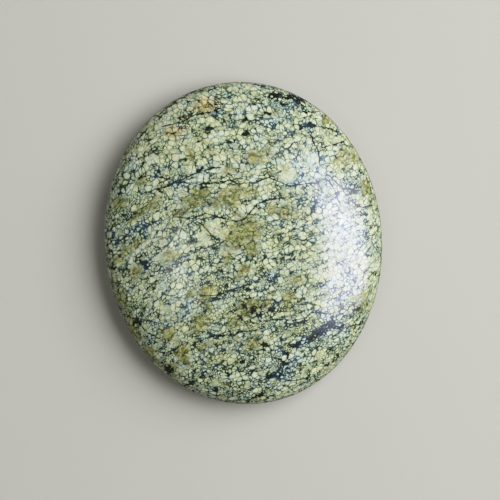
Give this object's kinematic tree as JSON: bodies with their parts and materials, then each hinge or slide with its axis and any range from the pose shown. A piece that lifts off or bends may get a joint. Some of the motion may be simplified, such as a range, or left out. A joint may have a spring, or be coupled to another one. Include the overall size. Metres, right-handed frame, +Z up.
{
  "type": "serpentine palm stone",
  "caption": "Flat oval palm stone of polished serpentine, domed on both faces and rounded at the edge, lying on a small flat spot.",
  "frame": {"origin": "centre of the stone's footprint, on the surface that it lies on", "axes": "+Z up, +Y along the stone's length towards its broader end, +X across its width"},
  "size_m": [0.0516, 0.06, 0.0125],
  "materials": {
    "serpentine": "tumbled and polished, cream-green grains in a dark blue-black network with olive patches"
  },
  "bodies": {
    "root": {"stone": "serpentine"}
  },
  "joints": []
}
